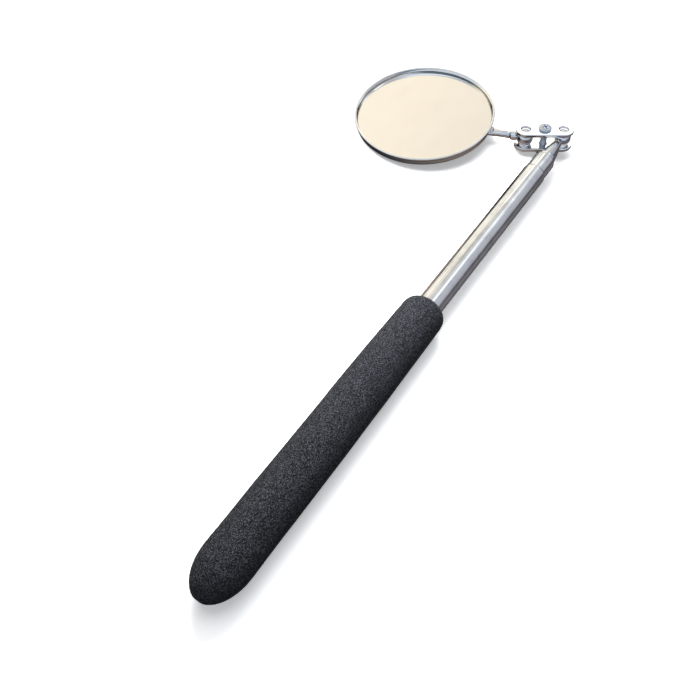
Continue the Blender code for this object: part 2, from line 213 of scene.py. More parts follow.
# The room's colour behind the grip, by height from the horizon, 0, to overhead, 1.
ROOM_BEHIND = (
    (0.3, (0.7, 0.79, 0.92)),
    (0.44, (0.78, 0.88, 1.0)),
    (0.5, (0.09, 0.14, 0.19)),
    (0.58, (0.09, 0.14, 0.19)),
    (0.66, (0.95, 1.1, 1.28)),
    (1.0, (0.7, 0.8, 0.9)),
)

SPOT_ROUND = 58.5
SPOT_ALONG = 0.765
SPOT_GAIN = 1.2
SPOT_EDGE = (0.9945, 0.9985)
DIFFUSE_SHARE = 0.32

SUN_ENERGY = 1.3
SUN_SPREAD = 40.0
SUN_FROM = (0.2, 0.12, 1.0)
NEAR_ENERGY = 0.6
NEAR_SIZE = 0.12
NEAR_PLACE = (0.045, 0.03, 0.13)
NEAR_FROM = (0.065, 0.063, 0.123)


# ---------------------------------------------------------------- frames of the moving groups


def shift(x, y=0.0, z=0.0):
    return Matrix.Translation((x, y, z))


def turn(degrees, axis):
    return Matrix.Rotation(math.radians(degrees), 4, axis)


TOOL = shift(AXIS_X0, AXIS_Y0, AXIS_Z0)
SHAFT = TOOL @ turn(HEAD_ROLL, "X")
SHAFT_BALL = SHAFT @ shift(SHAFT_BALL_X)
CLAMP = SHAFT_BALL @ turn(CLAMP_SWING, "Z")
SCREW = CLAMP @ shift(0.5 * BALL_PITCH)
MIRROR_BALL = CLAMP @ shift(BALL_PITCH) @ turn(STEM_SWING, "Z")
HEAD = MIRROR_BALL @ turn(MIRROR_TWIST, "X")


# ---------------------------------------------------------------- materials


def tree_of(name):
    made = bpy.data.materials.new(name)
    made.use_nodes = True
    tree = made.node_tree
    return made, tree, tree.nodes["Principled BSDF"]


def add(tree, kind, **values):
    node = tree.nodes.new(kind)
    for key, value in values.items():
        setattr(node, key, value)
    return node


def coordinates(tree, stretch=(1.0, 1.0, 1.0)):
    """Object coordinates in millimetres, stretched along a direction."""
    source = add(tree, "ShaderNodeTexCoord")
    mapping = add(tree, "ShaderNodeMapping", vector_type="POINT")
    mapping.inputs["Scale"].default_value = [1000.0 * s for s in stretch]
    tree.links.new(source.outputs["Object"], mapping.inputs["Vector"])
    return mapping.outputs["Vector"]


def noise_of(tree, vector, scale, detail=2.0, rough=0.5):
    node = add(tree, "ShaderNodeTexNoise")
    node.inputs["Scale"].default_value = scale
    node.inputs["Detail"].default_value = detail
    node.inputs["Roughness"].default_value = rough
    tree.links.new(vector, node.inputs["Vector"])
    return node.outputs["Fac"]


def ramp(tree, value, stops):
    node = add(tree, "ShaderNodeValToRGB")
    elements = node.color_ramp.elements
    while len(elements) < len(stops):
        elements.new(0.5)
    for element, (place, colour) in zip(elements, stops):
        element.position = place
        element.color = (*colour, 1.0)
    tree.links.new(value, node.inputs["Fac"])
    return node.outputs["Color"]


def spread(tree, value, low, high, start=0.3, end=0.7):
    """The value's range from start to end, mapped to low to high and held there."""
    node = add(tree, "ShaderNodeMapRange")
    node.inputs["From Min"].default_value = start
    node.inputs["From Max"].default_value = end
    node.inputs["To Min"].default_value = low
    node.inputs["To Max"].default_value = high
    tree.links.new(value, node.inputs["Value"])
    return node.outputs["Result"]


def mixed(tree, a, b, factor):
    """a times the factor, plus b."""
    node = add(tree, "ShaderNodeMath", operation="MULTIPLY_ADD")
    tree.links.new(a, node.inputs[0])
    node.inputs[1].default_value = factor
    tree.links.new(b, node.inputs[2])
    return node.outputs[0]


def bump(tree, shader, height, distance_mm, strength=1.0):
    node = add(tree, "ShaderNodeBump")
    node.inputs["Strength"].default_value = strength
    node.inputs["Distance"].default_value = distance_mm * MM
    tree.links.new(height, node.inputs["Height"])
    tree.links.new(node.outputs["Normal"], shader.inputs["Normal"])


def metal(name, light, dark, rough, grain=(1.0, 1.0, 1.0), lines=0.0004, streak=0.0):
    """Plated or bright metal: faint tone changes, handling smudges and fine drawing lines."""
    made, tree, shader = tree_of(name)
    shader.inputs["Metallic"].default_value = 1.0
    plain = coordinates(tree)
    drawn = coordinates(tree, grain)
    cloud = noise_of(tree, plain, 0.11, 4.0, 0.6)
    smudge = noise_of(tree, plain, 0.55, 5.0, 0.65)
    line = noise_of(tree, drawn, 5.0, 3.0, 0.6)
    shade = mixed(tree, line, cloud, streak)
    middle = 0.5 * streak
    colour = ramp(tree, shade, ((0.3 + middle, dark), (0.6 + middle, light)))
    tree.links.new(colour, shader.inputs["Base Color"])
    tone = mixed(tree, line, smudge, 0.6)
    tree.links.new(spread(tree, tone, rough[0], rough[1], 0.55, 1.05), shader.inputs["Roughness"])
    bump(tree, shader, line, lines)
    return made


def foam():
    """Closed-cell foam rubber: a fine pebbled skin over a random mottle, painted paler where the
    grit raises it (painted highlight) and darker where it sinks (painted shade).
    """
    made, tree, shader = tree_of("foam_rubber_skin")
    place = coordinates(tree)
    cells = add(tree, "ShaderNodeTexVoronoi", feature="F1")
    cells.inputs["Scale"].default_value = 1.0 / FOAM_PIT
    tree.links.new(place, cells.inputs["Vector"])
    grit_and_painted_glint = noise_of(tree, place, 3.4, 2.0, 0.65)
    patch = noise_of(tree, place, 0.5, 3.0, 0.6)
    relief = mixed(tree, cells.outputs["Distance"], grit_and_painted_glint, -0.5)
    # Painted light and shade: the colour follows the grit that also raises the bump, pale on the
    # crowns as painted glints and near black in the low parts as painted shade. The patch noise
    # adds a random mottle.
    colour = ramp(
        tree,
        mixed(tree, patch, grit_and_painted_glint, 0.1),
        (
            (0.425, (0.001, 0.001, 0.001)),
            (0.545, (0.011, 0.0115, 0.0135)),
            (0.685, (0.085, 0.089, 0.105)),
        ),
    )
    tree.links.new(colour, shader.inputs["Base Color"])
    tree.links.new(spread(tree, grit_and_painted_glint, 0.7, 0.45), shader.inputs["Roughness"])
    shader.inputs["Specular IOR Level"].default_value = 0.18
    shader.inputs["Specular Tint"].default_value = (0.9, 0.95, 1.0, 1.0)
    bump(tree, shader, relief, 0.3)
    return made


def mirror():
    """The silver behind the glass: nearly clean, with the faintest haze and dust."""
    made, tree, shader = tree_of("silvered_glass")
    shader.inputs["Metallic"].default_value = 1.0
    place = coordinates(tree)
    haze = noise_of(tree, place, 0.09, 4.0, 0.6)
    dust = noise_of(tree, place, 2.2, 3.0, 0.7)
    colour = ramp(tree, haze, ((0.3, (0.975, 0.94, 0.9)), (0.7, (0.995, 0.962, 0.925))))
    tree.links.new(colour, shader.inputs["Base Color"])
    tree.links.new(
        spread(tree, mixed(tree, dust, haze, 0.5), 0.012, 0.04, 0.65, 1.0),
        shader.inputs["Roughness"],
    )
    return made


def clear_glass():
    """Float glass over the silver: a slight warm tint and a film of wipe marks."""
    made, tree, shader = tree_of("clear_float_glass")
    wipe = noise_of(tree, coordinates(tree, (0.3, 1.0, 1.0)), 0.4, 3.0, 0.6)
    tint = ramp(tree, wipe, ((0.3, (0.985, 0.98, 0.965)), (0.7, (0.995, 0.99, 0.98))))
    tree.links.new(tint, shader.inputs["Base Color"])
    tree.links.new(spread(tree, wipe, 0.0, 0.012), shader.inputs["Roughness"])
    shader.inputs["Transmission Weight"].default_value = 1.0
    shader.inputs["IOR"].default_value = 1.5
    return made


def dull(name, low, high, rough, scale, relief):
    """Moulded plastic or tape: mottled colour and a fine uneven surface."""
    made, tree, shader = tree_of(name)
    place = coordinates(tree)
    mottle = noise_of(tree, place, scale, 4.0, 0.6)
    grain = noise_of(tree, place, 5.0 * scale, 3.0, 0.6)
    tree.links.new(ramp(tree, mottle, ((0.35, low), (0.65, high))), shader.inputs["Base Color"])
    tree.links.new(spread(tree, grain, rough[0], rough[1]), shader.inputs["Roughness"])
    bump(tree, shader, grain, relief)
    return made


LOOK = {
    "foam_black": foam(),
    "chrome_tube_steel": metal(
        "chrome_on_tube",
        (0.83, 0.835, 0.845),
        (0.58, 0.585, 0.6),
        (0.04, 0.1),
        (0.004, 0.34, 0.34),
        0.003,
        streak=0.9,
    ),
    "chrome_turned": metal(
        "chrome_on_turned_steel", (0.74, 0.75, 0.78), (0.66, 0.67, 0.7), (0.05, 0.12), (2, 0.3, 0.3)
    ),
    "chrome_pressed_plate": metal(
        "chrome_on_pressed_plate", (0.86, 0.86, 0.87), (0.78, 0.78, 0.8), (0.07, 0.16)
    ),
    "chrome_drawn_cup": metal(
        "chrome_on_drawn_cup", (0.84, 0.845, 0.86), (0.76, 0.765, 0.78), (0.04, 0.09)
    ),
    "zinc_bright": metal(
        "bright_zinc", (0.6, 0.66, 0.74), (0.45, 0.51, 0.6), (0.16, 0.32), (1, 1, 1), 0.003
    ),
    "steel_plain": metal(
        "plain_steel", (0.55, 0.55, 0.55), (0.42, 0.42, 0.43), (0.24, 0.42), (1, 1, 1), 0.003
    ),
    "brass_spring": metal(
        "spring_brass", (0.78, 0.58, 0.28), (0.62, 0.44, 0.2), (0.2, 0.36), (0.05, 1, 1), 0.003
    ),
    "plastic_black": dull(
        "moulded_black", (0.018, 0.018, 0.02), (0.035, 0.035, 0.037), (0.45, 0.65), 0.8, 0.01
    ),
    "adhesive_grey": dull(
        "foam_tape", (0.22, 0.22, 0.22), (0.38, 0.38, 0.37), (0.75, 0.95), 1.2, 0.06
    ),
    "mirror_silvered": mirror(),
}


# ---------------------------------------------------------------- mesh helpers


def lathe(profile, along="X", sides=96, closed=False, arc=None):
    """A bmesh turned from (distance along the axis, radius) points, in millimetres."""
    bm = bmesh.new()
    start, sweep = (0.0, math.tau) if arc is None else (arc[0], arc[1] - arc[0])
    count = sides if arc is None else sides + 1
    rings = []
    for a, r in profile:
        if r < 1e-6:
            rings.append([bm.verts.new((a, 0, 0) if along == "X" else (0, 0, a))])
            continue
        ring = []
        for i in range(count):
            angle = start + sweep * i / sides
            c, s = r * math.cos(angle), r * math.sin(angle)
            ring.append(bm.verts.new((a, c, s) if along == "X" else (c, s, a)))
        rings.append(ring)
    pairs = list(zip(rings, rings[1:]))
    if closed:
        pairs.append((rings[-1], rings[0]))
    for first, second in pairs:
        for i in range(sides):
            j = (i + 1) % count
            if len(first) == 1 and len(second) == 1:
                continue
            if len(first) == 1:
                bm.faces.new((first[0], second[i], second[j]))
            elif len(second) == 1:
                bm.faces.new((first[i], second[0], first[j]))
            else:
                bm.faces.new((first[i], second[i], second[j], first[j]))
    if arc is not None:
        bm.faces.new([ring[0] for ring in rings])
        bm.faces.new([ring[-1] for ring in rings])
    return bm


def bent(points, radius=0.15, steps=4):
    """The profile with each corner, except the two ends, rounded by a small arc."""
    made = [points[0]]
    for before, here, after in zip(points, points[1:], points[2:]):
        h = Vector(here)
        a, b = Vector(before) - h, Vector(after) - h
        if a.length < 1e-6 or b.length < 1e-6 or a.angle(b) > math.radians(165):
            made.append(here)
            continue
        cut = min(radius, 0.45 * a.length, 0.45 * b.length)
        p, q = h + a.normalized() * cut, h + b.normalized() * cut
        for i in range(steps + 1):
            t = i / steps
            made.append(tuple(p * (1 - t) ** 2 + h * 2 * t * (1 - t) + q * t * t))
    made.append(points[-1])
    return made


def rounding(a0, r0, a1, r1, bulge, count):
    """Points of a quarter ellipse from (a0, r0) to (a1, r1)."""
    made = []
    for i in range(count + 1):
        c, s = math.cos(0.5 * math.pi * i / count), math.sin(0.5 * math.pi * i / count)
        if bulge == "radius":
            made.append((a0 + (a1 - a0) * (1 - c), r0 + (r1 - r0) * s))
        else:
            made.append((a0 + (a1 - a0) * s, r0 + (r1 - r0) * (1 - c)))
    return made


def mesh_object(bm, name, place, sharp=38.0):
    """A bmesh in millimetres becomes an object in metres, in the row frame."""
    bmesh.ops.remove_doubles(bm, verts=bm.verts, dist=1e-5)
    bmesh.ops.recalc_face_normals(bm, faces=bm.faces)
    bmesh.ops.transform(bm, matrix=Matrix.Scale(MM, 4) @ place, verts=bm.verts)
    mesh = bpy.data.meshes.new(name)
    bm.to_mesh(mesh)
    bm.free()
    for polygon in mesh.polygons:
        polygon.use_smooth = True
    mesh.set_sharp_from_angle(angle=math.radians(sharp))
    made = bpy.data.objects.new(name, mesh)
    bpy.context.scene.collection.objects.link(made)
    return made


def carve(target, cutters, operation="DIFFERENCE", sharp=38.0):
    """Booleans worked out at once, so that no helper is left."""
    for cutter in cutters:
        step = target.modifiers.new("carve", "BOOLEAN")
        step.operation = operation
        step.solver = "EXACT"
        step.object = cutter
    graph = bpy.context.evaluated_depsgraph_get()
    done = bpy.data.meshes.new_from_object(target.evaluated_get(graph))
    target.modifiers.clear()
    target.data = done
    for cutter in cutters:
        bpy.data.objects.remove(cutter)
    for polygon in done.polygons:
        polygon.use_smooth = True
    done.set_sharp_from_angle(angle=math.radians(sharp))
    return target


def even_normals(target):
    """Flat faces keep their flat shading beside rounded edges."""
    weighted = target.modifiers.new("even_normals", "WEIGHTED_NORMAL")
    weighted.keep_sharp = True
    return target


def wear(target, body, slot, *nodes, look=None):
    """The piece takes the slot's material, moves with the body and stands for the CAD nodes."""
    target.data.materials.clear()
    target.data.materials.append(look or LOOK[slot])
    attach(target, body)
    if nodes:
        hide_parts(*nodes)
    return target


# ---------------------------------------------------------------- handle


def grip_outline():
    """The outside of the grip from its closed tip to its open nose, in even small steps."""
    start = GRIP_DOME * (1 - math.sqrt(1 - (GRIP_FLAT_R / GRIP_R) ** 2))
    first = math.asin(GRIP_FLAT_R / GRIP_R)
    corner = [(0.0, 0.0), (0.0, 0.6 * GRIP_FLAT_R)]
    for i in range(41):
        angle = first + (0.5 * math.pi - first) * i / 40
        corner.append((GRIP_DOME * (1 - math.cos(angle)) - start, GRIP_R * math.sin(angle)))
    corner += GRIP_TAPER
    nose_x, nose_r = GRIP_LEN - GRIP_NOSE_X, GRIP_FRONT_R - GRIP_NOSE_R
    corner += rounding(nose_x, GRIP_FRONT_R, GRIP_LEN, nose_r, "axis", 24)
    corner.append((GRIP_LEN - 0.05, GRIP_BORE_R + 0.15))
    points = np.array(corner)
    length = np.concatenate([[0], np.cumsum(np.hypot(*np.diff(points, axis=0).T))])
    at = np.linspace(0, length[-1], int(length[-1] / FOAM_STEP))
    return list(zip(np.interp(at, length, points[:, 0]), np.interp(at, length, points[:, 1])))


def foam_height(p):
    """Relief of the foam skin in mm: round cells with pits between, on a slow unevenness."""
    near, _ = noise.voronoi(p / FOAM_CELL)
    cell = 0.5 - min(near[0], 1.0)
    slow = noise.noise(p / FOAM_WAVE)
    middle = noise.noise(p / FOAM_LUMP)
    fine = noise.noise(p / FOAM_GRAIN)
    skin = FOAM_RELIEF * (cell + 0.45 * middle + 0.4 * fine)
    return skin + FOAM_WAVINESS * slow - FOAM_SINK


def build_grip():
    outside = grip_outline()
    inside = [(GRIP_LEN - 0.35, GRIP_BORE_R), (GRIP_BORE_END, GRIP_BORE_R), (GRIP_BORE_END, 0.0)]
    bm = lathe(outside + inside, "X", FOAM_SIDES)
    bm.normal_update()
    bmesh.ops.recalc_face_normals(bm, faces=bm.faces)
    bm.normal_update()
    moves = []
    for vert in bm.verts:
        radius = math.hypot(vert.co.y, vert.co.z)
        inner = radius < GRIP_BORE_R + 0.1 and GRIP_BORE_END - 0.1 < vert.co.x
        if not inner:
            moves.append((vert, vert.normal * foam_height(vert.co)))
    for vert, move in moves:
        vert.co += move
    grip = mesh_object(bm, "grip_foam", TOOL, sharp=80.0)
    wear(grip, "handle", "foam_black", "foam_grip")


def build_outer_tube():
    profile = [
        (TUBE_START, TUBE_BORE_R),
        (TUBE_START, TUBE_R),
        (SWAGE_X - 0.45, TUBE_R),
        (SWAGE_X + 0.1, MOUTH_R),
        (TUBE_END - 0.42, MOUTH_R),
        (TUBE_END - 0.02, MOUTH_R - 0.24),
        (TUBE_END - 0.1, MOUTH_BORE_R),
        (SWAGE_X + 0.4, MOUTH_BORE_R),
        (SWAGE_X, TUBE_BORE_R),
    ]
    profile = bent(profile, 0.16, 4)
    tube = mesh_object(lathe(profile, "X", 128, closed=True), "tube_outer_shell", TOOL)
    wear(tube, "handle", "chrome_tube_steel", "outer_tube")


# ---------------------------------------------------------------- sliding stage


def build_inner_stage():
    profile = [
        (INNER_START, INNER_BORE_R),
        (INNER_START, INNER_R),
        (INNER_END, INNER_R),
        (INNER_END, INNER_BORE_R),
    ]
    ring = bent(profile + profile[:1], 0.1, 3)[1:-1]
    tube = mesh_object(lathe([profile[0]] + ring, "X", 112, closed=True), "tube_inner_stage", SHAFT)
    wear(tube, "inner_shaft", "chrome_tube_steel", "inner_tube")

    hole = NECK_R + 0.1
    profile = [
        (FERRULE_SPIGOT_X, 0.0),
        (FERRULE_SPIGOT_X, INNER_BORE_R - 0.1),
        (FERRULE_X, INNER_BORE_R - 0.1),
        (FERRULE_X, FERRULE_R),
        (CONE_X - 0.35, FERRULE_R),
        (CONE_X, FERRULE_R - 0.16),
        (CONE_END, CONE_TIP_R),
        (CONE_END, hole),
        (NECK_START - 0.1, hole),
        (NECK_START - 0.1, 0.0),
    ]
    cone = mesh_object(lathe(bent(profile, 0.14, 5), "X", 112), "ferrule_cone", SHAFT)
    wear(cone, "inner_shaft", "chrome_turned", "cone_ferrule")

    reach = BALL_R + BALL_GAP
    profile = [(NECK_START, 0.0), (NECK_START, NECK_R)]
    profile += [(CONE_END + 0.05, NECK_R), (CONE_END + 0.3, NECK_R - 0.06)]
    for i in range(9):
        r = (NECK_R - 0.02) * (1 - i / 8)
        profile.append((SHAFT_BALL_X - math.sqrt(reach * reach - r * r), r))
    neck = mesh_object(lathe(profile, "X", 64), "ferrule_neck", SHAFT)
    wear(neck, "inner_shaft", "chrome_turned", "ball_neck")


# ---------------------------------------------------------------- double-ball clamp


def turned_ball(name, place, towards):
    """A ball turned on its stud: a true sphere with the small centre mark of the lathe."""
    mark = CENTRE_MARK_R
    profile = [(BALL_R - 0.22, 0.0), (BALL_R - 0.06, mark * 0.6)]
    first = math.asin(mark / BALL_R)
    for i in range(45):
        angle = first + (math.pi - first) * i / 44
        profile.append((BALL_R * math.cos(angle), max(0.0, BALL_R * math.sin(angle))))
    profile[-1] = (-BALL_R, 0.0)
    flip = Matrix.Identity(4) if towards > 0 else turn(180, "Z")
    return mesh_object(lathe(profile, "X", 80), name, place @ flip, sharp=30.0)


def stadium(half_width, length, count=36):
    """The outline of a strip with round ends, whose end centres are this far apart."""
    outline = []
    for end, turned_by in ((length, -0.5), (0.0, 0.5)):
        for i in range(count + 1):
            angle = math.pi * (turned_by + i / count)
            outline.append((end + half_width * math.cos(angle), half_width * math.sin(angle)))
    return outline


def prism(outline, low, high):
    """A flat outline made solid between two heights."""
    bm = bmesh.new()
    face = bm.faces.new([bm.verts.new((x, y, low)) for x, y in outline])
    raised = bmesh.ops.extrude_face_region(bm, geom=[face])
    moved = [item for item in raised["geom"] if isinstance(item, bmesh.types.BMVert)]
    bmesh.ops.translate(bm, verts=moved, vec=(0, 0, high - low))
    bmesh.ops.recalc_face_normals(bm, faces=bm.faces)
    return bm


def round_edges(bm, width, segments, least_angle=60.0):
    sharp = [e for e in bm.edges if e.calc_face_angle(0.0) > math.radians(least_angle)]
    bmesh.ops.bevel(bm, geom=sharp, offset=width, segments=segments, affect="EDGES", profile=0.5)


def hole_cutter(radius, low, high, x, place):
    """A drill with a flare at each face, so that the hole gets a small chamfer."""
    flare = SEAT_CHAMFER
    profile = [
        (low - 0.5, 0.0),
        (low - 0.5, radius + flare + 0.5),
        (low + flare, radius),
        (high - flare, radius),
        (high + 0.5, radius + flare + 0.5),
        (high + 0.5, 0.0),
    ]
    return mesh_object(lathe(profile, "Z", 64), "drill", place @ shift(x))


def build_plate(name, low, high, node):
    bm = prism(stadium(PLATE_HALF_WIDTH, BALL_PITCH), low, high)
    round_edges(bm, PLATE_EDGE, 4)
    plate = mesh_object(bm, name, CLAMP)
    drills = [
        hole_cutter(SEAT_R, low, high, 0.0, CLAMP),
        hole_cutter(SCREW_HOLE_R, low, high, 0.5 * BALL_PITCH, CLAMP),
        hole_cutter(SEAT_R, low, high, BALL_PITCH, CLAMP),
    ]
    even_normals(carve(plate, drills, sharp=30.0))
    wear(plate, "clamp", "chrome_pressed_plate", node)


def build_nut_and_washer():
    top = -PLATE_OUT - FIT
    hole = SCREW_R + 0.12
    ring = [(top, hole), (top, SCREW_R + 1.05), (top - WASHER_T, SCREW_R + 1.05)]
    ring.append((top - WASHER_T, hole))
    gap = math.radians(6.0)
    bm = lathe(ring, "Z", 72, closed=True, arc=(gap, math.tau - gap))
    bmesh.ops.recalc_face_normals(bm, faces=bm.faces)
    round_edges(bm, 0.06, 2, 50.0)
    washer = even_normals(mesh_object(bm, "lock_washer_ring", SCREW))
    wear(washer, "clamp", "steel_plain", "clamp_lock_washer")

    top -= WASHER_T + FIT
    low = top - NUT_T
    corner = NUT_FLATS / math.sqrt(3.0)
    outline = []
    for i in range(6):
        angle = math.radians(60 * i)
        outline.append((corner * math.cos(angle), corner * math.sin(angle)))
    nut = mesh_object(prism(outline, low, top), "clamp_hex_nut", SCREW)
    fall = 0.3
    barrel = [
        (low, 0.0),
        (low, 0.5 * NUT_FLATS - 0.1),
        (low + fall, corner + 0.02),
        (top - fall, corner + 0.02),
        (top, 0.5 * NUT_FLATS - 0.1),
        (top, 0.0),
    ]
    carve(nut, [mesh_object(lathe(barrel, "Z", 96), "barrel", SCREW)], "INTERSECT")
    carve(nut, [hole_cutter(SCREW_R + 0.04, low, top, 0.0, SCREW)], sharp=25.0)
    even_normals(nut)
    wear(nut, "clamp", "zinc_bright", "clamp_nut")


def build_screw():
    """A pan head with a cross recess, and under it a shank with a real thread."""
    under = PLATE_OUT + FIT
    tip = -PLATE_OUT - WASHER_T - NUT_T - 2 * FIT - 0.25
    head = [(under, 0.0), (under, HEAD_R - 0.12), (under + 0.1, HEAD_R)]
    head += rounding(under + 0.35, HEAD_R, under + HEAD_H, 0.9, "axis", 14)
    head.append((under + HEAD_H, 0.0))
    body = mesh_object(lathe(head, "Z", 96), "screw_pan_head", SCREW)
    slots = []
    for angle in (20.0, 110.0):
        bm = bmesh.new()
        bmesh.ops.create_cube(bm, size=1.0)
        for vert in bm.verts:
            deep = vert.co.z < 0
            vert.co.x *= SLOT_FOOT_LENGTH if deep else SLOT_LENGTH
            vert.co.y *= SLOT_FOOT_WIDTH if deep else SLOT_WIDTH
            vert.co.z = under + (SLOT_FLOOR if deep else HEAD_H + 0.3)
        slots.append(mesh_object(bm, "cross_slot", SCREW @ turn(angle, "Z")))
    carve(body, slots, sharp=28.0)
    even_normals(body)
    wear(body, "clamp_screw", "zinc_bright", "clamp_screw")

    sides, per_turn = 48, 8
    rows = int((under - 0.02 - tip) / THREAD_PITCH * per_turn)
    bm = bmesh.new()
    rings = []
    for row in range(rows + 1):
        z = tip + (under - 0.02 - tip) * row / rows
        lead = min(1.0, (z - tip) / 0.5)
        ring = []
        for i in range(sides):
            phase = (z / THREAD_PITCH - i / sides) % 1.0
            groove = 1.0 - abs(2.0 * phase - 1.0)
            r = SCREW_R - THREAD_DEPTH * min(1.0, 1.25 * groove) - 0.25 * (1.0 - lead)
            angle = math.tau * i / sides
            ring.append(bm.verts.new((r * math.cos(angle), r * math.sin(angle), z)))
        rings.append(ring)
    for first, second in zip(rings, rings[1:]):
        for i in range(sides):
            j = (i + 1) % sides
            bm.faces.new((first[i], first[j], second[j], second[i]))
    bm.faces.new(rings[0])
    bm.faces.new(rings[-1])
    shank = mesh_object(bm, "screw_thread", SCREW, sharp=75.0)
    wear(shank, "clamp_screw", "zinc_bright")


# ---------------------------------------------------------------- mirror head


def build_collar():
    reach = BALL_R + BALL_GAP
    profile = []
    for i in range(9):
        r = COLLAR_R * 0.84 * i / 8
        profile.append((math.sqrt(reach * reach - r * r), r))
    profile += [(3.35, COLLAR_R), (COLLAR_END - 0.5, COLLAR_R)]
    profile += [(COLLAR_END, COLLAR_R - 0.4), (COLLAR_END, 0.0)]
    collar = mesh_object(lathe(bent(profile, 0.1, 3), "X", 64), "stem_swivel_collar", MIRROR_BALL)
    wear(collar, "stem_collar", "chrome_turned", "stem_collar")


def build_stem():
    """A round rod that flattens and rises into the tongue under the cup."""
    top = CUP_RIM_Z - CUP_DEPTH - FIT
    half = 0.5 * TONGUE_T
    rise = top - half
    keys = np.array(
        [
            (STEM_START, STEM_R - 0.15, STEM_R - 0.15, 0.0),
            (STEM_START + 0.15, STEM_R, STEM_R, 0.0),
            (9.5, STEM_R, STEM_R, 0.0),
            (10.9, 1.5, 1.02, 0.22 * rise),
            (12.3, 2.05, 0.68, 0.7 * rise),
            (TONGUE_START, TONGUE_HALF_W, half, rise),
            (TONGUE_END - 2.4, TONGUE_HALF_W, half, rise),
        ]
    )
    stations = np.concatenate(
        [keys[:3, 0], np.linspace(9.8, TONGUE_START, 12), np.linspace(14.8, keys[-1, 0], 6)]
    )
    sections = [[x, *(np.interp(x, keys[:, 0], keys[:, k]) for k in (1, 2, 3))] for x in stations]
    for i in range(1, 13):
        angle = 0.5 * math.pi * i / 12.5
        x = keys[-1, 0] + 2.4 * math.sin(angle)
        sections.append([x, max(0.35, TONGUE_HALF_W * math.cos(angle)), half, rise])
    count = 56
    bm = bmesh.new()
    rings = []
    for x, half_w, half_t, up in sections:
        flat = min(1.0, max(0.0, (half_w / half_t - 1.0) / 1.2))
        power = 1.0 - 0.55 * flat
        ring = []
        for i in range(count):
            c, s = math.cos(math.tau * i / count), math.sin(math.tau * i / count)
            y = half_w * math.copysign(abs(c) ** power, c)
            z = half_t * math.copysign(abs(s) ** power, s)
            ring.append(bm.verts.new((x, y, z + up)))
        rings.append(ring)
    for first, second in zip(rings, rings[1:]):
        for i in range(count):
            j = (i + 1) % count
            bm.faces.new((first[i], first[j], second[j], second[i]))
    bm.faces.new(rings[0])
    bm.faces.new(rings[-1])
    stem = mesh_object(bm, "mirror_stem_strip", HEAD, sharp=50.0)
    wear(stem, "mirror_head", "chrome_turned", "mirror_stem")


def build_rivets():
    floor = CUP_RIM_Z - CUP_DEPTH + CUP_WALL
    below = CUP_RIM_Z - CUP_DEPTH - FIT - TONGUE_T - 0.05
    for number, x in enumerate(RIVET_X):
        profile = [(below - 0.45, 0.0)]
        profile += rounding(below - 0.45, 0.4, below, RIVET_HEAD_R, "radius", 8)
        profile += [(below, RIVET_R), (floor + 0.05, RIVET_R), (floor + 0.05, RIVET_HEAD_R)]
        profile += [(floor + 0.3, RIVET_HEAD_R - 0.25), (floor + 0.3, 0.0)]
        rivet = mesh_object(lathe(profile, "Z", 48), f"rivet_{number + 1}", HEAD @ shift(x))
        wear(rivet, "mirror_head", "steel_plain", f"stem_rivet_{number + 1}")


def build_cup():
    """The drawn cup with its rolled lip, and in it the glass over its film of silver."""
    base = CUP_RIM_Z - CUP_DEPTH
    top = CUP_RIM_Z
    bore = CUP_R - CUP_WALL
    profile = [(base, 0.0)]
    profile += [(base, r) for r in (6.0, 12.0, 18.0)]
    profile += rounding(base, CUP_R - CUP_FILLET, base + CUP_FILLET, CUP_R, "radius", 12)
    profile += [(top - 1.02, CUP_R), (top - 0.8, CUP_R + 0.07)]
    lip_r, lip_z = CUP_LIP_R - LIP_HALF_WIDTH, top - LIP_HALF_HEIGHT
    for i in range(25):
        angle = math.radians(-60 + 240 * i / 24)
        rise = math.copysign(abs(math.sin(angle)) ** LIP_ROUNDNESS, math.sin(angle))
        across = lip_r + LIP_HALF_WIDTH * math.cos(angle)
        profile.append((lip_z + LIP_HALF_HEIGHT * rise, across))
    profile += [
        (top - 0.46, bore + CUP_DRAFT),
        (base + CUP_WALL + 0.5, bore - CUP_DRAFT),
        (base + CUP_WALL + 0.15, bore - CUP_DRAFT - 0.12),
        (base + CUP_WALL, bore - CUP_DRAFT - 0.4),
        (base + CUP_WALL, 0.0),
    ]
    cup = mesh_object(lathe(profile, "Z", 224), "mirror_cup_shell", HEAD @ shift(CUP_X))
    wear(cup, "mirror_head", "chrome_drawn_cup", "mirror_cup")

    face = top - GLASS_RECESS
    back = face - GLASS_T
    place = HEAD @ shift(CUP_X)
    ring = GLASS_R - GLASS_SEAM
    silver = [(back, 0.0), (back, ring), (back + SILVER_T, ring), (back + SILVER_T, 0.0)]
    layer = mesh_object(lathe(silver, "Z", 224), "mirror_silver_back", place, sharp=20.0)
    wear(layer, "mirror_head", "mirror_silvered", "mirror_glass")
    low = back + SILVER_T + SILVER_GAP
    disc = [(low, 0.0), (low, ring), (low + GLASS_SEAM, GLASS_R), (face - GLASS_SEAM, GLASS_R)]
    disc += [(face, ring), (face, 0.0)]
    glass = mesh_object(lathe(disc, "Z", 224), "mirror_glass_disc", place, sharp=20.0)
    wear(glass, "mirror_head", "mirror_silvered", "mirror_glass", look=clear_glass())


# ---------------------------------------------------------------- studio


def direction(degrees, along):
    """A direction with this much of +X, at this angle from +Y round the X axis."""
    angle = math.radians(degrees)
    across = math.sqrt(1.0 - along * along)
    return Vector((along, across * math.cos(angle), across * math.sin(angle)))


